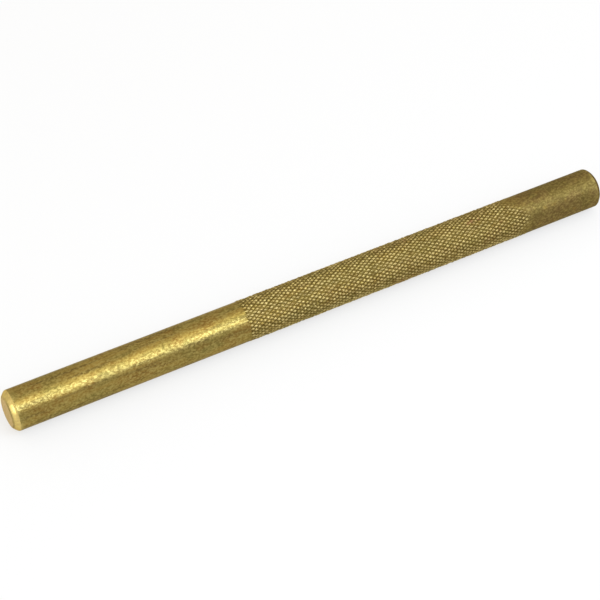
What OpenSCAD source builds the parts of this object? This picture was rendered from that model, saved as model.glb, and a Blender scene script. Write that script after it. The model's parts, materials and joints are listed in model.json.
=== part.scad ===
// Solid brass drift punch: one bar with a chamfer at each end and a rolled diamond knurl for the grip.
// Its axis is the X axis, with the working face at -X and the struck face at +X, and its middle at the origin.

/* [Bar] */
// Diameter of the plain bar
bar_d = 12.7; // [12:0.1:20]
// Length of plain bar from the working face to the knurl
tip_plain_len = 76.2; // [20:0.1:150]
// Length of plain bar from the knurl to the struck face
head_plain_len = 25.4; // [10:0.1:100]

/* [Ends] */
// Width of the 45 degree chamfer round the working face
tip_chamfer = 1.6; // [0.4:0.1:4]
// Width of the 45 degree chamfer round the struck face
head_chamfer = 1.2; // [0.4:0.1:4]

/* [Knurl] */
// Length of the knurled grip along the bar
knurl_len = 101.6; // [30:0.1:110]
// Grooves of each hand, counted round the bar
knurl_count = 32; // [16:1:33]
// Angle between the grooves and the bar's axis, in degrees
knurl_angle = 30; // [20:1:32]
// Height of the diamonds' points above the plain bar
knurl_rise = 0.18; // [0.05:0.01:0.4]
// Depth of the grooves below the plain bar
knurl_depth = 0.27; // [0.05:0.01:0.5]

/* [Hidden] */
$fn = 96;
brass = "#b3923a";

bar_r = bar_d / 2;
overall_len = tip_plain_len + knurl_len + head_plain_len;
tip_face_x = -overall_len / 2;
head_face_x = overall_len / 2;
knurl_start_x = tip_face_x + tip_plain_len;
knurl_end_x = knurl_start_x + knurl_len;

// The diamonds' points lie on crest_r and the grooves on root_r, two columns to each groove round the bar.
crest_r = bar_r + knurl_rise;
root_r = bar_r - knurl_depth;
columns = 2 * knurl_count;
row_step = PI * crest_r / (knurl_count * tan(knurl_angle));
row_steps = floor(knurl_len / row_step) - 1;
first_row_x = knurl_start_x + (knurl_len - row_steps * row_step) / 2;

// The knurl runs out halfway up the grooves, a little inside the ends of the plain stretches.
run_out_r = bar_r - knurl_depth / 2;
knurl_overlap = 0.1;

// One ring of the knurl's points, with one radius for even columns and one for odd columns.
function ring(x, even_r, odd_r) = [
    for (column = [0:columns - 1])
        let (angle = 360 * column / columns, r = column % 2 == 0 ? even_r : odd_r)
        [x, r * cos(angle), r * sin(angle)]
];

// Grooves and points swap columns from one row to the next, which sets the diamonds in a stagger.
function knurl_row(row) =
    let (x = first_row_x + row * row_step)
    row % 2 == 0 ? ring(x, root_r, crest_r) : ring(x, crest_r, root_r);

knurl_points = [
    each ring(knurl_start_x - knurl_overlap, run_out_r, run_out_r),
    for (row = [0:row_steps]) each knurl_row(row),
    each ring(knurl_end_x + knurl_overlap, run_out_r, run_out_r)
];
last_ring = row_steps + 2;

function point(ring, column) = ring * columns + column % columns;

// Each cell between two rings is creased along the groove that crosses it from corner to corner.
function cell(ring, column) =
    let (
        near = point(ring, column),
        near_next = point(ring, column + 1),
        far = point(ring + 1, column),
        far_next = point(ring + 1, column + 1)
    )
    (ring + column) % 2 == 1
        ? [[near, far, far_next], [near, far_next, near_next]]
        : [[near, far, near_next], [far, far_next, near_next]];

knurl_faces = [
    [for (column = [0:columns - 1]) point(0, column)],
    for (ring = [0:last_ring - 1], column = [0:columns - 1]) each cell(ring, column),
    [for (column = [columns - 1:-1:0]) point(last_ring, column)]
];

// A plain stretch of bar from its chamfered face at x = 0 to a square end at x = length.
module plain_end(length, chamfer) {
    rotate([0, 90, 0])
        rotate_extrude()
            polygon([
                [0, 0],
                [bar_r - chamfer, 0],
                [bar_r, chamfer],
                [bar_r, length],
                [0, length]
            ]);
}

module punch_bar() {
    color(brass)
        union() {
            translate([tip_face_x, 0, 0])
                plain_end(tip_plain_len, tip_chamfer);
            polyhedron(knurl_points, knurl_faces);
            translate([head_face_x, 0, 0])
                mirror([1, 0, 0])
                    plain_end(head_plain_len, head_chamfer);
        }
}

punch_bar();
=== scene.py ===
"""Blender scene of a solid brass drift punch that lies on a pale studio floor.

The punch is one worked-out surface. Rings of points follow a profile from the middle of the working
face, over its chamfer, along the bar and over the far chamfer to the middle of the struck face, and
each ring goes once round the bar's axis. The knurl lifts and lowers the points of its own rings.
"""

import json
import logging
import math
from dataclasses import dataclass
from enum import Enum
from typing import Any

import bpy
import numpy as np
from mathutils import Matrix, Vector
from numpy.typing import NDArray

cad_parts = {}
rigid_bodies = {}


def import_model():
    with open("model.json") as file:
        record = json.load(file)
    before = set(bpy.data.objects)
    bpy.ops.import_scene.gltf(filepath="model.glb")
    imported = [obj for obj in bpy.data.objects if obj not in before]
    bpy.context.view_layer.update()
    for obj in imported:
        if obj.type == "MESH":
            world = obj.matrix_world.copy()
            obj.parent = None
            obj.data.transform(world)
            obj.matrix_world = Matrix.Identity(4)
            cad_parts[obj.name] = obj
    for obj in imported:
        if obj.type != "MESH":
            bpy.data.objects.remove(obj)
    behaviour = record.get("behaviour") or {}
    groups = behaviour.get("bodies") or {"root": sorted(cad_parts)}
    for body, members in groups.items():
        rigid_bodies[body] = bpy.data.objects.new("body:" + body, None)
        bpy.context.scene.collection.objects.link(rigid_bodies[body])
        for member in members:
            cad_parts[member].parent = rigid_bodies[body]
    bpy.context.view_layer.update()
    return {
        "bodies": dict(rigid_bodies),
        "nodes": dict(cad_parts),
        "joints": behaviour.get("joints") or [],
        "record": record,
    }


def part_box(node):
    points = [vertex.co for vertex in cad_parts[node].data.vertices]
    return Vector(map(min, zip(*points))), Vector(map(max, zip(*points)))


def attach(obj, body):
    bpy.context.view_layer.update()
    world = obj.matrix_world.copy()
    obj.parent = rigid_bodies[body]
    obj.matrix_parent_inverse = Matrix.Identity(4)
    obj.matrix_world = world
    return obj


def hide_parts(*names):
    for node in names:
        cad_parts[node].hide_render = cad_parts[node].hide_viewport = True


LOG = logging.getLogger("drift_punch")

Array = NDArray[np.float64]
Index = NDArray[np.int64]
Colour = tuple[float, float, float]
Socket = bpy.types.NodeSocket

MM = 0.001
TURN = 2.0 * math.pi
EIGHTH = TURN / 8.0
NODE = "punch_bar"
BODY = "root"
PIECE = "knurled_punch"


class Trace(Enum):
    """Values that the bar's points carry for its finishes."""

    CREST = "crest"
    GROOVE = "groove"
    FILM = "film"
    RIM = "rim"
    WEAR = "wear"
    OUT = "out"
    HIT = "hit"


class Stretch(Enum):
    """Stretches of the bar by finish, numbered as its material slots."""

    SKIN = 0
    TURNED = 1


class Draw(Enum):
    """Traits of a knurl's diamond that are left to chance, numbered by their draw."""

    HEIGHT = 0
    SHINE = 1
    ALONG = 2
    ROUND = 3


def smooth_rise(value: Array, low: Array | float, high: Array | float) -> Array:
    """Rises from 0 at low to 1 at high as 3 t squared less 2 t cubed.

    Args:
        value: Where the rise is wanted.
        low: Value at which it starts.
        high: Value at which it ends.

    Returns:
        The rise, of the shape of value.
    """
    share = np.clip((value - low) / (high - low), 0.0, 1.0)
    return share * share * (3.0 - 2.0 * share)


def bell(distance: Array, reach: float) -> Array:
    """Falls from 1 at no distance as e to the minus square of the distance in reaches."""
    return np.exp(-((distance / reach) ** 2))


@dataclass(frozen=True)
class BarSizes:
    """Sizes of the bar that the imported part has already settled, in metres."""

    tip_x: float
    head_x: float
    bar_radius: float
    crest_radius: float
    tip_chamfer: float
    head_chamfer: float
    knurl_start: float
    knurl_end: float

    @classmethod
    def from_frame(cls, frame: dict[str, Any]) -> "BarSizes":
        """Reads the bar's box and the two plain shanks of its record.


        Returns:
            The sizes of the bar.
        """
        low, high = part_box(NODE)
        mounts = {mount["name"]: mount for mount in frame["record"]["mounts"]}
        working, struck = mounts["working_shank"], mounts["struck_shank"]
        working_half = working["dims"]["length_mm"] * MM / 2.0
        struck_half = struck["dims"]["length_mm"] * MM / 2.0
        return cls(
            tip_x=low.x,
            head_x=high.x,
            bar_radius=working["dims"]["r_mm"] * MM,
            crest_radius=min(high.y, high.z, -low.y, -low.z),
            tip_chamfer=working["pos_m"][0] - working_half - low.x,
            head_chamfer=high.x - struck["pos_m"][0] - struck_half,
            knurl_start=working["pos_m"][0] + working_half,
            knurl_end=struck["pos_m"][0] - struck_half,
        )


@dataclass(frozen=True)
class RolledKnurl:
    """Diamond knurl that two rolls pressed into the bar, right-hand and left-hand grooves crossing."""

    sizes: BarSizes
    count: int = 32
    angle: float = math.radians(30.0)
    groove_depth: float = 0.27 * MM
    uneven_crest: float = 0.12 * MM
    stray: float = 0.2 * MM
    run_in: float = 0.5 * MM
    ragged_start: float = 0.25 * MM
    ragged_waves: tuple[float, float] = (5.0, 3.0)
    ragged_phase: float = 1.0
    fade: float = 4.5 * MM
    setback: float = 1.2 * MM
    setback_once: float = 2.7 * MM
    setback_thrice: float = 2.1 * MM
    setback_at: float = math.radians(75.0)
    seed: int = 11
    spare_rows: int = 9
    cell_nudge: float = 1e-6

    @property
    def row_step(self) -> float:
        """Distance along the bar between a row of points and the next, staggered one."""
        return math.pi * self.sizes.crest_radius / (self.count * math.tan(self.angle))

    @property
    def row_count(self) -> int:
        """Number of whole row steps between the first and the last row of points."""
        return math.floor((self.sizes.knurl_end - self.sizes.knurl_start) / self.row_step) - 1

    @property
    def first_row(self) -> float:
        """Place along the bar of the first row of points."""
        length = self.sizes.knurl_end - self.sizes.knurl_start
        return self.sizes.knurl_start + (length - self.row_count * self.row_step) / 2.0

    def lattice(self, x: Array, angle: Array) -> tuple[Array, Array]:
        """Counts half grooves round the bar and rows along it.

        Args:
            x: Place along the bar.
            angle: Angle round the bar.

        Returns:
            The half grooves and the rows. A groove passes where their sum or difference is even.
        """
        return angle / TURN * 2 * self.count, (x - self.first_row) / self.row_step

    def climb(self, x: Array, angle: Array) -> Array:
        """Height up a diamond, from 0 in the grooves to 1 on its point.

        The distance to the nearest groove of each hand is a saw-tooth of the lattice's sum or
        difference. The smaller of the two makes a pyramid, and the sine of its quarter turn rounds it.

        Args:
            x: Place along the bar.
            angle: Angle round the bar.

        Returns:
            The height as a share of the diamond's.
        """
        across, along = self.lattice(x, angle)
        right = 1.0 - np.abs(1.0 - np.mod(across + along, 2.0))
        left = 1.0 - np.abs(1.0 - np.mod(across - along, 2.0))
        return np.sin(np.minimum(right, left) * math.pi / 2.0)

    def lot(self, x: Array, angle: Array, draw: Draw) -> Array:
        """One chance value from 0 to 1 for each diamond, the same all over it.

        Args:
            x: Place along the bar.
            angle: Angle round the bar.
            draw: The trait that it is for.

        Returns:
            The value of the diamond that each point lies on.
        """
        across, along = self.lattice(x, angle)
        right = np.floor((across + along) / 2.0 + self.cell_nudge).astype(int)
        left = np.floor((across - along) / 2.0 + self.cell_nudge).astype(int)
        rows, columns = self.row_count + self.spare_rows, 2 * self.count
        table = np.random.default_rng(self.seed + draw.value).random((rows, columns))
        return table[np.mod(right - left, rows), np.mod(right + left, columns)]

    def pressed(self, x: Array, angle: Array) -> Array:
        """How deep the rolls went in, from 0 on the plain bar to 1 in the full knurl.

        It starts within a ragged half millimetre, where two waves round the bar are multiplied. At
        the struck end it fades before a ring that stands back by a mean value and by its first and
        third waves round the bar.

        Args:
            x: Place along the bar.
            angle: Angle round the bar.

        Returns:
            The depth as a share of the full one.
        """
        often, seldom = self.ragged_waves
        ragged = np.sin(often * angle) * np.sin(seldom * angle + self.ragged_phase)
        start = self.sizes.knurl_start + self.ragged_start * ragged
        turned = angle - self.setback_at
        first, third = np.cos(turned), np.cos(3.0 * turned)
        back = self.setback + self.setback_once * first + self.setback_thrice * third
        end = self.sizes.knurl_end - np.maximum(back, 0.0)
        return smooth_rise(x, start, start + self.run_in) * (1.0 - smooth_rise(x, end - self.fade, end))

    def strayed(self, x: Array, angle: Array) -> tuple[Array, Array]:
        """Shifts the diamonds' points off their places, each its own way.

        The shift grows with the climb up the diamond, so the grooves stay where they are.

        Args:
            x: Place along the bar.
            angle: Angle round the bar.

        Returns:
            The shifted places and angles.
        """
        reach = 2.0 * self.stray * self.pressed(x, angle) * self.climb(x, angle)
        along = x + reach * (self.lot(x, angle, Draw.ALONG) - 0.5)
        return along, angle + reach / self.sizes.bar_radius * (self.lot(x, angle, Draw.ROUND) - 0.5)

    def lift(self, x: Array, angle: Array) -> Array:
        """Height of the knurl above the plain bar, negative in its grooves.

        Args:
            x: Place along the bar.
            angle: Angle round the bar.

        Returns:
            The height, the climb up each diamond times its own height, as far as the rolls went in.
        """
        rise = self.sizes.crest_radius - self.sizes.bar_radius
        full = self.groove_depth + rise - self.uneven_crest * self.lot(x, angle, Draw.HEIGHT)
        return self.pressed(x, angle) * (full * self.climb(x, angle) - self.groove_depth)


@dataclass(frozen=True)
class TurnedEnd:
    """Flat end face with a 45 degree chamfer, both edges a little rounded."""

    chamfer: float
    bar_radius: float
    flat_edge: float
    bar_edge: float
    phase: float
    rim_reach: float = 0.35 * MM
    rim_at: float = math.radians(155.0)
    rim_left: float = 0.15
    unevenness: float = 0.07 * MM
    inset: float = 0.5
    second_wave: float = 0.5
    third_wave: float = 0.3
    seventh_wave: float = 0.25
    face_rings: int = 8
    edge_rings: int = 6
    chamfer_rings: int = 3

    @property
    def reach(self) -> float:
        """Distance behind the face from which on the bar is plain."""
        return self.chamfer + self.unevenness + self.bar_edge

    @property
    def ring_count(self) -> int:
        """Number of rings up to the plain bar, with the face's middle counted as one."""
        return 1 + self.face_rings + 2 * self.edge_rings + self.chamfer_rings

    def chamfer_at(self, angle: Array) -> Array:
        """Chamfer's width round the bar, a mean value with its second, third and seventh waves.

        Args:
            angle: Angle round the bar.

        Returns:
            The width at each angle.
        """
        second = self.second_wave * np.sin(2.0 * angle + self.phase)
        third = self.third_wave * np.sin(3.0 * angle + 2.0 * self.phase)
        seventh = self.seventh_wave * np.sin(7.0 * angle + self.phase)
        return self.chamfer + self.unevenness * (second + third + seventh - self.inset)

    def rim(self, radius: Array, flat: Array, angle: Array) -> Array:
        """Dark line along the flat's edge, a bell across it that is strongest on one side of the face.

        Round the bar it keeps a least share, and the rest follows the square of a raised cosine.

        Args:
            radius: Radii of the rings.
            flat: Radius of the flat's edge at each angle.
            angle: Angles round the bar.

        Returns:
            The darkening, from 0 to 1, one row a ring.
        """
        side = (0.5 + 0.5 * np.cos(angle - self.rim_at)) ** 2
        return bell(radius - flat, self.rim_reach) * (self.rim_left + (1.0 - self.rim_left) * side)

    def profile(self, angle: Array) -> tuple[Array, Array, Array]:
        """Profile from near the middle of the face to the plain bar, for each angle round it.

        Rings on the face are shares of the flat's radius. Each edge is an arc of 45 degrees that
        touches both its sides, and rings between the edges run straight up the chamfer.

        Args:
            angle: Angles round the bar.

        Returns:
            The depth behind the face, the radius and the dark line along the flat's edge, one row a ring.
        """
        width = self.chamfer_at(angle)[None, :]
        share = (np.arange(1, self.face_rings + 1) / (self.face_rings + 1))[:, None]
        flat = self.bar_radius - width
        arc = np.linspace(0.0, EIGHTH, self.edge_rings)[:, None]
        bend = math.tan(EIGHTH / 2.0)
        up = (np.arange(1, self.chamfer_rings + 1) / (self.chamfer_rings + 1))[:, None]
        low_start = self.flat_edge * bend / math.sqrt(2.0)
        low_end = self.bar_edge * bend / math.sqrt(2.0)
        climb = low_start + up * (width - low_start - low_end)
        depth = [
            np.zeros_like(share * width),
            self.flat_edge * (1.0 - np.cos(arc)) + np.zeros_like(width),
            climb,
            width + self.bar_edge * (bend - np.cos(arc + EIGHTH)),
        ]
        radius = [
            share * (flat - self.flat_edge * bend),
            flat + self.flat_edge * (np.sin(arc) - bend),
            flat + climb,
            self.bar_radius - self.bar_edge * (1.0 - np.sin(arc + EIGHTH)) + np.zeros_like(width),
        ]
        radii = np.concatenate(radius)
        return np.concatenate(depth), radii, self.rim(radii, flat, angle)


@dataclass(frozen=True)
class Pattern:
    """Noise of a finish, in waves to a metre along and across the bar, with its finer layers."""

    along: float
    across: float
    detail: float = 2.0
    roughness: float = 0.5


@dataclass(frozen=True)
class Rise:
    """Range of a pattern's values over which something comes in, and how far it comes in."""

    low: float
    high: float
    share: float = 1.0


class NodeWeb:
    """The nodes of one material or of the room, put together from their patterns."""

    def __init__(self, owner: bpy.types.Material | bpy.types.World, shader: str) -> None:
        """Starts from the owner's own nodes.

        Args:
            owner: The material or the room.
            shader: Name of its shader node.
        """
        owner.use_nodes = True
        self.tree = owner.node_tree
        self.shader = self.tree.nodes[shader]
        self.coordinates = self.node("ShaderNodeTexCoord")

    @classmethod
    def of_paint(cls, paint: bpy.types.Material) -> "NodeWeb":
        """Starts from a material's own nodes."""
        return cls(paint, "Principled BSDF")

    def node(self, kind: str, **settings: Any) -> bpy.types.Node:
        """Adds a node.

        Args:
            kind: The node's type.
            **settings: Values of its own settings.

        Returns:
            The node.
        """
        node = self.tree.nodes.new(kind)
        for key, value in settings.items():
            setattr(node, key, value)
        return node

    def join(self, value: Socket | float | Colour, target: Socket) -> None:
        """Links a socket to a target or sets a plain number or colour on it.

        Args:
            value: The socket, number or colour.
            target: The input that takes it.
        """
        if isinstance(value, bpy.types.NodeSocket):
            self.tree.links.new(value, target)
        elif isinstance(value, tuple):
            target.default_value = (*value, 1.0)
        else:
            target.default_value = value

    def feed(self, name: str, value: Socket | float | Colour) -> None:
        """Gives the shader one of its values."""
        self.join(value, self.shader.inputs[name])

    def trace(self, trace: Trace) -> Socket:
        """Reads a value that the bar's points carry."""
        return self.node("ShaderNodeAttribute", attribute_name=trace.value).outputs["Fac"]

    def noise(self, pattern: Pattern) -> Socket:
        """Adds a noise on the bar's own coordinates.

        Args:
            pattern: Its waves and its finer layers.

        Returns:
            The noise, from 0 to 1.
        """
        mapping = self.node("ShaderNodeMapping")
        mapping.inputs["Scale"].default_value = (pattern.along, pattern.across, pattern.across)
        self.join(self.coordinates.outputs["Object"], mapping.inputs["Vector"])
        noise = self.node("ShaderNodeTexNoise")
        self.join(mapping.outputs["Vector"], noise.inputs["Vector"])
        noise.inputs["Scale"].default_value = 1.0
        noise.inputs["Detail"].default_value = pattern.detail
        noise.inputs["Roughness"].default_value = pattern.roughness
        return noise.outputs["Fac"]

    def rings(self, out: Socket, scale: float) -> Socket:
        """Adds a noise that changes along one value alone, as the marks of a turning tool do.

        Args:
            out: The value, which on an end face is the distance from the axis.
            scale: Waves to a metre.

        Returns:
            The noise, from 0 to 1.
        """
        noise = self.node("ShaderNodeTexNoise", noise_dimensions="1D")
        self.join(out, noise.inputs["W"])
        noise.inputs["Scale"].default_value = scale
        return noise.outputs["Fac"]

    def window(self, value: Socket, rise: Rise) -> Socket:
        """Rises smoothly from 0 where the value is low to the rise's share where it is high.

        Args:
            value: The pattern.
            rise: Where the rise starts and ends, and how far it goes.

        Returns:
            The rise.
        """
        node = self.node("ShaderNodeMapRange", interpolation_type="SMOOTHSTEP")
        self.join(value, node.inputs["Value"])
        node.inputs["From Min"].default_value = rise.low
        node.inputs["From Max"].default_value = rise.high
        node.inputs["To Max"].default_value = rise.share
        return node.outputs["Result"]

    def sum_or_product(self, operation: str, one: Socket, other: Socket | float) -> Socket:
        """Adds or multiplies two values.

        Args:
            operation: The node's name of the operation.
            one: The first value.
            other: The second value.

        Returns:
            The result.
        """
        node = self.node("ShaderNodeMath", operation=operation)
        self.join(one, node.inputs[0])
        self.join(other, node.inputs[1])
        return node.outputs[0]

    def times(self, one: Socket, other: Socket | float) -> Socket:
        """Multiplies two values."""
        return self.sum_or_product("MULTIPLY", one, other)

    def plus(self, one: Socket, other: Socket | float) -> Socket:
        """Adds two values."""
        return self.sum_or_product("ADD", one, other)

    def blend(self, share: Socket, under: Socket | Colour, over: Socket | Colour) -> Socket:
        """Lays one colour over another.

        Args:
            share: How much of the upper colour shows.
            under: The lower colour.
            over: The upper colour.

        Returns:
            The mixed colour.
        """
        node = self.node("ShaderNodeMix", data_type="RGBA")
        factor, lower, upper = node.inputs[0], node.inputs[6], node.inputs[7]
        self.join(share, factor)
        self.join(under, lower)
        self.join(over, upper)
        return node.outputs[2]

    def bump(self, height: Socket) -> None:
        """Roughens the surface by a pattern of heights.

        Args:
            height: The heights in metres.
        """
        node = self.node("ShaderNodeBump")
        node.inputs["Distance"].default_value = 1.0
        self.join(height, node.inputs["Height"])
        self.feed("Normal", node.outputs["Normal"])

    def metal(self, edge: Colour) -> None:
        """Makes the shader a metal of that colour at its edges."""
        self.feed("Metallic", 1.0)
        self.feed("Specular Tint", edge)

    def whiten(self, share: float) -> None:
        """Shows a share of plain white over the shader to the camera, to metal and to glass.

        Args:
            share: How much of the white they see.
        """
        path = self.node("ShaderNodeLightPath").outputs
        seen = self.plus(path["Is Camera Ray"], path["Is Glossy Ray"])
        seen = self.times(self.plus(seen, path["Is Transmission Ray"]), share)
        mix = self.node("ShaderNodeMixShader")
        self.join(seen, mix.inputs["Fac"])
        self.join(self.shader.outputs[0], mix.inputs[1])
        self.join(self.node("ShaderNodeEmission").outputs[0], mix.inputs[2])
        self.join(mix.outputs[0], self.tree.nodes["Material Output"].inputs["Surface"])


@dataclass(frozen=True)
class AgedBrass:
    """Drawn brass skin, dulled in handling, with bare glints and the knurl's points rubbed bright."""

    name: str = "aged_brass"
    ochre: Colour = (0.321, 0.216, 0.05)
    brown: Colour = (0.248, 0.15, 0.034)
    olive: Colour = (0.207, 0.162, 0.041)
    glint: Colour = (0.395, 0.307, 0.094)
    dull: Colour = (0.149, 0.108, 0.031)
    russet: Colour = (0.154, 0.101, 0.033)
    streak: Colour = (0.14, 0.1, 0.03)
    pit: Colour = (0.12, 0.08, 0.025)
    # Colour of the knurl's grooves: tarnish there, with painted shade in them.
    groove: Colour = (0.125, 0.084, 0.014)
    crest: Colour = (0.77, 0.635, 0.285)
    rubbed: Colour = (0.5, 0.4, 0.13)
    copper: Colour = (0.3, 0.165, 0.07)
    edge: Colour = (0.75, 0.68, 0.55)
    patches: Pattern = Pattern(150.0, 240.0, detail=3.0)
    bands: Pattern = Pattern(75.0, 300.0, detail=3.0)
    lines: Pattern = Pattern(38.0, 750.0)
    mottle: Pattern = Pattern(480.0, 480.0, detail=4.0, roughness=0.6)
    grain: Pattern = Pattern(1150.0, 1700.0, detail=4.0, roughness=0.65)
    ripple: Pattern = Pattern(1300.0, 1300.0)
    ochre_bands: Rise = Rise(0.34, 0.66)
    brown_patches: Rise = Rise(0.44, 0.7)
    streak_lines: Rise = Rise(0.49, 0.69, share=0.75)
    russet_patches: Rise = Rise(0.41, 0.57)
    film_mottle: Rise = Rise(0.16, 0.5)
    pit_grain: Rise = Rise(0.47, 0.35, share=0.3)
    bare_grain: Rise = Rise(0.42, 0.64)
    rubbed_mottle: Rise = Rise(0.4, 0.6)
    crest_grain: Rise = Rise(0.3, 0.55)
    copper_patches: Rise = Rise(0.6, 0.7)
    copper_mottle: Rise = Rise(0.52, 0.66)
    copper_film: Rise = Rise(0.0, 0.25)
    film_on_bare: float = 0.47
    glint_share: float = 0.75
    roughness: float = 0.4
    glint_roughness: float = 0.3
    crest_roughness: float = 0.78
    groove_roughness: float = 0.75
    film_roughness: float = 0.16
    ripple_height: float = 0.065 * MM

    def build(self) -> bpy.types.Material:
        """Builds the material, from the bar's own colours up to what lies on them.

        Returns:
            The finished material.
        """
        paint = bpy.data.materials.new(self.name)
        web = NodeWeb.of_paint(paint)
        film = web.trace(Trace.FILM)
        groove = web.trace(Trace.GROOVE)
        patches = web.noise(self.patches)
        mottle = web.noise(self.mottle)
        grain = web.noise(self.grain)
        colour = web.blend(web.window(web.noise(self.bands), self.ochre_bands), self.olive, self.ochre)
        colour = web.blend(web.window(patches, self.brown_patches), colour, self.brown)
        colour = web.blend(web.window(web.noise(self.lines), self.streak_lines), colour, self.streak)
        tarnish = web.blend(web.window(patches, self.russet_patches), self.dull, self.russet)
        colour = web.blend(web.times(film, web.window(mottle, self.film_mottle)), colour, tarnish)
        colour = web.blend(web.window(grain, self.pit_grain), colour, self.pit)
        clear = web.plus(web.times(film, -self.film_on_bare), 1.0)
        bare = web.times(web.window(grain, self.bare_grain), clear)
        colour = web.blend(web.times(bare, self.glint_share), colour, self.glint)
        worn = web.times(web.trace(Trace.WEAR), web.window(mottle, self.rubbed_mottle))
        colour = web.blend(worn, colour, self.rubbed)
        # The knurl's grooves go darker: partly tarnish, partly painted shade.
        colour = web.blend(groove, colour, self.groove)
        crest = web.times(web.trace(Trace.CREST), web.window(grain, self.crest_grain))
        colour = web.blend(crest, colour, self.crest)
        flush = web.times(web.window(patches, self.copper_patches), web.window(mottle, self.copper_mottle))
        colour = web.blend(web.times(flush, web.window(film, self.copper_film)), colour, self.copper)
        web.feed("Base Color", colour)
        dullness = web.plus(web.times(film, self.film_roughness), self.roughness)
        shine = web.times(bare, self.glint_roughness - self.roughness)
        matt = web.times(crest, self.crest_roughness - self.roughness)
        matt = web.plus(matt, web.times(groove, self.groove_roughness - self.roughness))
        web.feed("Roughness", web.plus(web.plus(dullness, shine), matt))
        web.metal(self.edge)
        web.bump(web.times(web.noise(self.ripple), self.ripple_height))
        return paint


@dataclass(frozen=True)
class TurnedBrass:
    """Turned brass of the end faces and chamfers, tarnished and hammered at the struck end."""

    name: str = "turned_brass"
    cut: Colour = (0.71, 0.55, 0.175)
    tan: Colour = (0.72, 0.555, 0.27)
    stain: Colour = (0.52, 0.37, 0.14)
    rim: Colour = (0.15, 0.115, 0.03)
    dull: Colour = (0.16, 0.118, 0.036)
    russet: Colour = (0.17, 0.108, 0.042)
    dent: Colour = (0.27, 0.205, 0.068)
    edge: Colour = (0.7, 0.6, 0.45)
    patches: Pattern = Pattern(240.0, 240.0, detail=3.0)
    mottle: Pattern = Pattern(800.0, 800.0, detail=3.0)
    blots: Pattern = Pattern(1300.0, 1300.0, detail=4.0, roughness=0.6)
    ripple: Pattern = Pattern(1200.0, 1200.0)
    cut_out: Rise = Rise(5.1 * MM, 6.1 * MM)
    stain_blots: Rise = Rise(0.32, 0.76, share=0.75)
    rim_patches: Rise = Rise(0.4, 0.6, share=0.5)
    russet_patches: Rise = Rise(0.4, 0.6)
    film_mottle: Rise = Rise(0.0, 0.3)
    dent_mottle: Rise = Rise(0.35, 0.7)
    ragged: float = 1.6 * MM
    rim_least: float = 0.45
    tool_marks: float = 2400.0
    roughness: float = 0.3
    mark_roughness: float = 0.2
    film_roughness: float = 0.25
    ripple_height: float = 0.08 * MM
    mark_height: float = 0.02 * MM

    def build(self) -> bpy.types.Material:
        """Builds the material, from the cut metal up to the tarnish and the dents.

        Returns:
            The finished material.
        """
        paint = bpy.data.materials.new(self.name)
        web = NodeWeb.of_paint(paint)
        film = web.trace(Trace.FILM)
        out = web.trace(Trace.OUT)
        patches = web.noise(self.patches)
        mottle = web.noise(self.mottle)
        marks = web.rings(out, self.tool_marks)
        ragged = web.plus(out, web.times(mottle, self.ragged))
        colour = web.blend(web.window(ragged, self.cut_out), self.tan, self.cut)
        colour = web.blend(web.window(web.noise(self.blots), self.stain_blots), colour, self.stain)
        # A dark line along the flat's edge, strongest on one side of the face and broken into patches.
        rim_darkening = web.plus(web.window(patches, self.rim_patches), self.rim_least)
        colour = web.blend(web.times(web.trace(Trace.RIM), rim_darkening), colour, self.rim)
        tarnish = web.blend(web.window(patches, self.russet_patches), self.dull, self.russet)
        colour = web.blend(web.times(film, web.window(mottle, self.film_mottle)), colour, tarnish)
        dents = web.times(web.trace(Trace.HIT), web.window(mottle, self.dent_mottle))
        colour = web.blend(web.times(film, dents), colour, self.dent)
        web.feed("Base Color", colour)
        dullness = web.plus(web.times(film, self.film_roughness), self.roughness)
        web.feed("Roughness", web.plus(web.times(marks, self.mark_roughness), dullness))
        web.metal(self.edge)
        ripple = web.times(web.noise(self.ripple), self.ripple_height)
        web.bump(web.plus(ripple, web.times(marks, self.mark_height)))
        return paint


@dataclass(frozen=True)
class FloorPaint:
    """Matt pale paint of the floor, part of it plain white as in a lit studio."""

    name: str = "floor_paint"
    colour: Colour = (0.74, 0.74, 0.74)
    roughness: float = 0.9
    white_share: float = 0.65

    def build(self) -> bpy.types.Material:
        """Builds the material.

        Returns:
            The finished material.
        """
        paint = bpy.data.materials.new(self.name)
        web = NodeWeb.of_paint(paint)
        web.feed("Base Color", self.colour)
        web.feed("Roughness", self.roughness)
        web.feed("Specular IOR Level", 0.0)
        web.whiten(self.white_share)
        return paint


def fan(middle: int, rim: int, first: Index, second: Index) -> Index:
    """Joins the steps along a rim to its middle, one triangle a step.

    Args:
        middle: Ring number of the middle.
        rim: Ring number of the rim.
        first: Column at which each step's triangle goes along the rim.
        second: Column to which it goes.

    Returns:
        The ring and the column of each corner, one row a triangle.
    """
    rings = np.broadcast_to([middle, rim, rim], (len(first), 3))
    return np.stack([rings, np.stack([np.minimum(first, second), first, second], -1)], -1)


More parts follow.
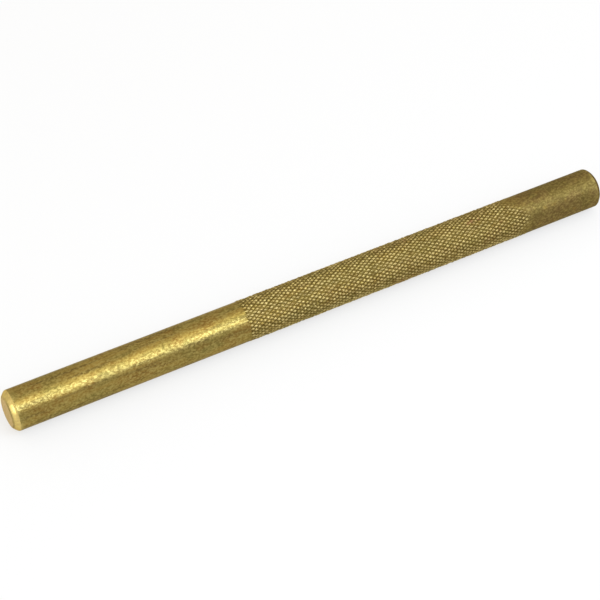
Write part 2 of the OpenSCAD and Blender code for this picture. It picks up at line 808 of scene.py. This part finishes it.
@dataclass
class PunchBar:
    """The whole punch as one surface of rings along the bar and columns round it."""

    sizes: BarSizes
    knurl: RolledKnurl
    tip: TurnedEnd
    head: TurnedEnd
    column_split: int = 3
    plain_step: float = 2.0 * MM
    level_margin: float = 1e-9
    crest_from: float = 0.55
    groove_to: float = 0.55
    shine_least: float = 0.2
    shine_more: float = 0.95
    film_tip: float = 0.0
    film_knurl: float = 0.4
    film_head: float = 1.0
    film_before_knurl: float = 4.0 * MM
    film_before_head: float = 9.0 * MM
    film_past_knurl: float = 1.0 * MM
    film_on_wear: float = 0.55
    wear_reach: float = 0.8 * MM
    hit_reach: float = 3.5 * MM
    bake_sheet: float = 104.0 * MM
    bake_gap: float = 0.8 * MM

    @property
    def columns(self) -> int:
        """Number of points in a ring."""
        return 2 * self.knurl.count * self.column_split

    @property
    def angles(self) -> Array:
        """Angles of a ring's points, from +Y towards +Z."""
        return np.arange(self.columns) * TURN / self.columns

    def plain_places(self, start: float, end: float) -> Array:
        """Places of rings about a plain step apart, from the start up to but without the end."""
        return np.linspace(start, end, math.ceil(abs(end - start) / self.plain_step), endpoint=False)

    def shaft_places(self) -> Array:
        """Places along the bar of the rings between the two chamfers.

        Plain stretches have rings a plain step apart. The knurl has rings on its rows and on equal
        steps between them, so that its grooves cross the grid from corner to corner.

        Returns:
            The places, from the working end on.
        """
        knurl, sizes = self.knurl, self.sizes
        step = knurl.row_step / self.column_split
        before = math.floor((knurl.first_row - sizes.knurl_start) / step) + 1
        rows = knurl.first_row + step * np.arange(-before, knurl.row_count * self.column_split + before + 1)
        near = self.plain_places(sizes.tip_x + self.tip.reach, rows[0])
        far = self.plain_places(sizes.head_x - self.head.reach, rows[-1])
        return np.concatenate([near, rows, far[::-1]])

    def rings(self) -> tuple[Array, Array, Array, dict[Trace, Array]]:
        """Works out all rings as place, radius and angle of each point, poles left out.

        Returns:
            The places along the bar, the radii, the angles and the traces, one row a ring.
        """
        angle = self.angles
        tip_depth, tip_radius, tip_rim = self.tip.profile(angle)
        head_depth, head_radius, head_rim = self.head.profile(angle)
        shaft_x = np.repeat(self.shaft_places()[:, None], self.columns, 1)
        turn = np.broadcast_to(angle, shaft_x.shape)
        shaft_radius = self.sizes.bar_radius + self.knurl.lift(shaft_x, turn)
        x = np.concatenate([self.sizes.tip_x + tip_depth, shaft_x, self.sizes.head_x - head_depth[::-1]])
        radius = np.concatenate([tip_radius, shaft_radius, head_radius[::-1]])
        rim = np.concatenate([tip_rim, np.zeros_like(shaft_x), head_rim[::-1]])
        around = np.broadcast_to(angle, x.shape)
        along, turned = self.knurl.strayed(x, around)
        return along, radius, turned, self.traces(x, radius, around, rim)

    def traces(self, x: Array, radius: Array, angle: Array, rim: Array) -> dict[Trace, Array]:
        """Works out what the points carry for the finishes.

        Args:
            x: Places along the bar.
            radius: Radii.
            angle: Angles round the bar.
            rim: Dark line along the edges of the flats.

        Returns:
            The traces, each with one row a ring.
        """
        pressed, climb = self.knurl.pressed(x, angle), self.knurl.climb(x, angle)
        shine = self.shine_least + self.shine_more * self.knurl.lot(x, angle, Draw.SHINE)
        film = self.film(x)
        return {
            Trace.CREST: pressed * shine * smooth_rise(climb, self.crest_from, 1.0),
            Trace.GROOVE: pressed * (1.0 - smooth_rise(climb, 0.0, self.groove_to)),
            Trace.FILM: film,
            Trace.RIM: rim,
            Trace.WEAR: self.edge_wear(x) * (1.0 - self.film_on_wear * film),
            Trace.OUT: radius,
            Trace.HIT: bell(radius, self.hit_reach),
        }

    def film(self, x: Array) -> Array:
        """Tarnish along the bar, which rises over the knurl and again at the struck end.

        Args:
            x: Place along the bar.

        Returns:
            The tarnish, from 0 to 1.
        """
        start, end = self.sizes.knurl_start, self.sizes.knurl_end
        on_knurl = smooth_rise(x, start - self.film_before_knurl, end)
        on_head = smooth_rise(x, end - self.film_before_head, end + self.film_past_knurl)
        film = self.film_tip + (self.film_knurl - self.film_tip) * on_knurl
        return film + (self.film_head - self.film_knurl) * on_head

    def edge_wear(self, x: Array) -> Array:
        """Nearness to the outer edges of the two chamfers, a bell that falls off within a millimetre.

        Args:
            x: Place along the bar.

        Returns:
            The nearness, 1 on an edge.
        """
        tip_edge = self.sizes.tip_x + self.sizes.tip_chamfer
        head_edge = self.sizes.head_x - self.sizes.head_chamfer
        return bell(np.minimum(np.abs(x - tip_edge), np.abs(x - head_edge)), self.wear_reach)

    def surface(self, x: Array, radius: Array, angle: Array) -> Array:
        """Winds the rings round the axis: a point is its place along X and its radius at its angle.

        Args:
            x: Places along the bar.
            radius: Radii.
            angle: Angles round the bar.

        Returns:
            The points, the working face's middle first and the struck face's middle last.
        """
        ring_points = np.stack([x, radius * np.cos(angle), radius * np.sin(angle)], axis=-1)
        tip_middle = np.array([[self.sizes.tip_x, 0.0, 0.0]])
        head_middle = np.array([[self.sizes.head_x, 0.0, 0.0]])
        return np.concatenate([tip_middle, ring_points.reshape(-1, 3), head_middle])

    def corners(self, radius: Array) -> tuple[Index, Array]:
        """Lists the triangles' corners by ring and by unwrapped column.

        Each cell of the grid is creased along the diagonal whose two ends lie lower, which follows
        the knurl's grooves. A fan closes each face. Ring 0 and the last ring are the two middles.

        Args:
            radius: Radii of the rings, which say which diagonal lies lower.

        Returns:
            The ring and the column of each corner, one row a triangle.
        """
        rings, columns = radius.shape
        count = np.arange(columns)
        ring, column = np.meshgrid(np.arange(1, rings), count, indexing="ij")
        near, near_next = np.stack([ring, column], -1), np.stack([ring, column + 1], -1)
        far, far_next = np.stack([ring + 1, column], -1), np.stack([ring + 1, column + 1], -1)
        following = np.roll(radius, -1, axis=1)
        straight = radius[:-1] + following[1:] <= following[:-1] + radius[1:] + self.level_margin
        straight = straight[..., None]
        one = np.stack([near, near_next, np.where(straight, far_next, far)], -2)
        two = np.stack([np.where(straight, near, near_next), far_next, far], -2)
        corners = np.concatenate([
            fan(0, 1, count + 1, count),
            one.reshape(-1, 3, 2),
            two.reshape(-1, 3, 2),
            fan(rings + 1, rings, count, count + 1),
        ])
        return corners[..., 0], corners[..., 1].astype(float)

    def bake_map(self, ring: Index, column: Array, x: Array, radius: Array) -> Array:
        """Lays the surface out flat on one square sheet.

        The bar is cut across its middle and unrolled into two strips, one above the other, and the
        two ends lie above them as discs whose radius is the way out from the face's middle.

        Args:
            ring: Rings of the triangles' corners.
            column: Columns of the triangles' corners.
            x: Places of the rings along the bar.
            radius: Radii of the rings.

        Returns:
            The two map coordinates of each corner.
        """
        mean_x = np.concatenate([[self.sizes.tip_x], x.mean(1), [self.sizes.head_x]])
        mean_radius = np.concatenate([[0.0], radius.mean(1), [0.0]])
        way = np.concatenate([[0.0], np.cumsum(np.hypot(np.diff(mean_x), np.diff(mean_radius)))])
        tip_rings, head_rings = self.tip.ring_count, self.head.ring_count
        last, middle = len(way) - 1, int(np.searchsorted(mean_x, 0.0))
        lowest, highest = ring.min(1, keepdims=True), ring.max(1, keepdims=True)
        on_tip, on_head = highest < tip_rings, lowest > last - head_rings
        near_half = highest <= middle
        strip = TURN * self.sizes.crest_radius
        gap, sheet = self.bake_gap, self.bake_sheet
        along = np.where(near_half, way[ring] - way[tip_rings - 1], way[ring] - way[middle]) + gap
        across = (1.0 - column / self.columns) * strip + np.where(near_half, gap, 2.0 * gap + strip)
        turn = np.where(on_tip, -column, column) / self.columns * TURN
        out = np.where(on_tip, way[ring], way[last] - way[ring])
        disc = max(way[tip_rings - 1], way[last] - way[last - head_rings + 1])
        centre_u = np.where(on_tip, gap + disc, 2.0 * gap + 3.0 * disc)
        centre_v = 3.0 * gap + 2.0 * strip + disc
        on_disc = on_tip | on_head
        u = np.where(on_disc, centre_u + out * np.cos(turn), along)
        v = np.where(on_disc, centre_v + out * np.sin(turn), across)
        return np.stack([u, v], -1) / sheet

    def stretch_of(self, ring: Index, last: int) -> NDArray[np.int32]:
        """Tells which finish each triangle wears.

        Args:
            ring: Rings of the triangles' corners.
            last: Number of the last ring.

        Returns:
            The material slot of each triangle.
        """
        on_tip = ring.max(1) < self.tip.ring_count - 1
        on_head = ring.min(1) > last - self.head.ring_count + 1
        return np.where(on_tip | on_head, Stretch.TURNED.value, Stretch.SKIN.value).astype(np.int32)

    def build(self) -> bpy.types.Object:
        """Makes the mesh with its traces and its flat map.

        Returns:
            The punch as an object at the origin.
        """
        x, radius, angle, traces = self.rings()
        points = self.surface(x, radius, angle)
        ring, column = self.corners(radius)
        last = len(x) + 1
        wrapped = np.mod(column, self.columns).astype(int)
        inner = 1 + (ring - 1) * self.columns + wrapped
        triangles = np.where(ring == 0, 0, np.where(ring == last, len(points) - 1, inner))
        pole = (ring == 0) | (ring == last)
        column = np.where(pole, column + 0.5, column)
        mesh = bpy.data.meshes.new(PIECE)
        mesh.from_pydata(points, [], triangles)
        mesh.polygons.foreach_set("use_smooth", np.ones(len(triangles), bool))
        mesh.polygons.foreach_set("material_index", self.stretch_of(ring, last))
        flat = mesh.uv_layers.new(name="OFBake")
        flat.data.foreach_set("uv", self.bake_map(ring, column, x, radius).ravel())
        for trace, values in traces.items():
            layer = mesh.attributes.new(trace.value, "FLOAT", "POINT")
            ends = [values[0].mean()], [values[-1].mean()]
            layer.data.foreach_set("value", np.concatenate([ends[0], values.ravel(), ends[1]]))
        mesh.update()
        punch = bpy.data.objects.new(PIECE, mesh)
        bpy.context.scene.collection.objects.link(punch)
        return punch

    def dress(self, punch: bpy.types.Object) -> None:
        """Gives the punch its finishes, in the order of the stretches, and sets it on the part.

        Args:
            punch: The punch's object.
        """
        punch.data.materials.append(AgedBrass().build())
        punch.data.materials.append(TurnedBrass().build())
        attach(punch, BODY)
        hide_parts(NODE)


@dataclass(frozen=True)
class Lamp:
    """Flat lamp that faces the bar's middle, in metres and watts."""

    name: str
    place: tuple[float, float, float]
    size: tuple[float, float]
    power: float
    colour: Colour

    def hang(self) -> bpy.types.Object:
        """Hangs the lamp.

        Returns:
            The lamp.
        """
        panel = bpy.data.lights.new(self.name, "AREA")
        panel.shape = "RECTANGLE"
        panel.size, panel.size_y = self.size
        panel.energy = self.power
        panel.color = self.colour
        lamp = bpy.data.objects.new(self.name, panel)
        lamp.location = self.place
        lamp.rotation_euler = (-Vector(self.place)).to_track_quat("-Z", "Y").to_euler()
        bpy.context.scene.collection.objects.link(lamp)
        return lamp


@dataclass
class Studio:
    """Pale floor, a softbox, a top and a side panel, a plain room and the photograph's camera."""

    floor_height: float
    floor_size: float = 8.0
    wall_colour: Colour = (0.73, 0.697, 0.665)
    ceiling_colour: Colour = (0.95, 0.9, 0.84)
    wall_top: Rise = Rise(0.15, 0.6)
    softbox: Lamp = Lamp("softbox", (0.26, -0.564, 0.776), (0.7, 0.45), 4.15, (0.88, 1.03, 1.29))
    top_panel: Lamp = Lamp("top_panel", (0.24, -0.184, 0.947), (0.7, 0.4), 1.3, (0.97, 0.98, 0.78))
    side_panel: Lamp = Lamp("side_panel", (-2.76, -0.6, 0.9), (1.5, 1.2), 26.0, (0.96, 1.0, 1.02))
    azimuth: float = math.radians(-28.436)
    elevation: float = math.radians(45.602)
    lens: float = 115.03
    sensor: float = 36.0
    bar_right: float = 4.756 * MM
    bar_up: float = 2.09 * MM
    bar_ahead: float = 586.41 * MM

    def lay_floor(self) -> bpy.types.Object:
        """Lays the floor, a flat grid of two by two points at the height that the bar lies on.

        Returns:
            The floor.
        """
        half = self.floor_size / 2.0
        across, along = np.meshgrid([-half, half], [-half, half])
        points = np.stack([across, along, np.full_like(across, self.floor_height)], -1).reshape(-1, 3)
        mesh = bpy.data.meshes.new("floor")
        mesh.from_pydata(points, [], [(0, 1, 3, 2)])
        floor = bpy.data.objects.new("floor", mesh)
        bpy.context.scene.collection.objects.link(floor)
        mesh.materials.append(FloorPaint().build())
        return floor

    def light(self) -> None:
        """Hangs the lamps and sets the room's light, which rises from its walls to its ceiling."""
        for lamp in (self.softbox, self.top_panel, self.side_panel):
            lamp.hang()
        room = bpy.data.worlds.new("room")
        web = NodeWeb(room, "Background")
        height = web.node("ShaderNodeSeparateXYZ")
        web.join(web.coordinates.outputs["Generated"], height.inputs["Vector"])
        rise = web.window(height.outputs["Z"], self.wall_top)
        web.feed("Color", web.blend(rise, self.wall_colour, self.ceiling_colour))
        bpy.context.scene.world = room
        bpy.context.scene.view_settings.view_transform = "Standard"

    def place_camera(self) -> None:
        """Sets the camera on the photograph's line of sight.

        Its axes follow from azimuth and elevation, and the bar's middle lies so far to the right,
        up and ahead of it.
        """
        turn, rise = self.azimuth, self.elevation
        right = Vector((math.cos(turn), math.sin(turn), 0.0))
        back = Vector((math.sin(turn) * math.cos(rise), -math.cos(turn) * math.cos(rise), math.sin(rise)))
        up = back.cross(right)
        place = back * self.bar_ahead - right * self.bar_right - up * self.bar_up
        sight = bpy.data.cameras.new("camera")
        sight.lens, sight.sensor_width = self.lens, self.sensor
        camera = bpy.data.objects.new("camera", sight)
        camera.matrix_world = Matrix.Translation(place) @ Matrix((right, up, back)).transposed().to_4x4()
        bpy.context.scene.collection.objects.link(camera)
        bpy.context.scene.camera = camera


def main() -> None:
    """Builds the punch and the studio."""
    logging.basicConfig(level=logging.INFO, format="%(name)s: %(message)s")
    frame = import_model()
    sizes = BarSizes.from_frame(frame)
    radius = sizes.bar_radius
    bar = PunchBar(
        sizes=sizes,
        knurl=RolledKnurl(sizes),
        tip=TurnedEnd(sizes.tip_chamfer, radius, flat_edge=2.0 * MM, bar_edge=1.2 * MM, phase=0.7),
        head=TurnedEnd(sizes.head_chamfer, radius, flat_edge=1.0 * MM, bar_edge=0.7 * MM, phase=2.1),
    )
    punch = bar.build()
    bar.dress(punch)
    LOG.info("%s: %d triangles", punch.name, len(punch.data.polygons))
    studio = Studio(floor_height=-sizes.crest_radius)
    floor = studio.lay_floor()
    studio.light()
    studio.place_camera()
    LOG.info("%s at %.2f mm", floor.name, studio.floor_height / MM)


if __name__ == "__main__":
    main()
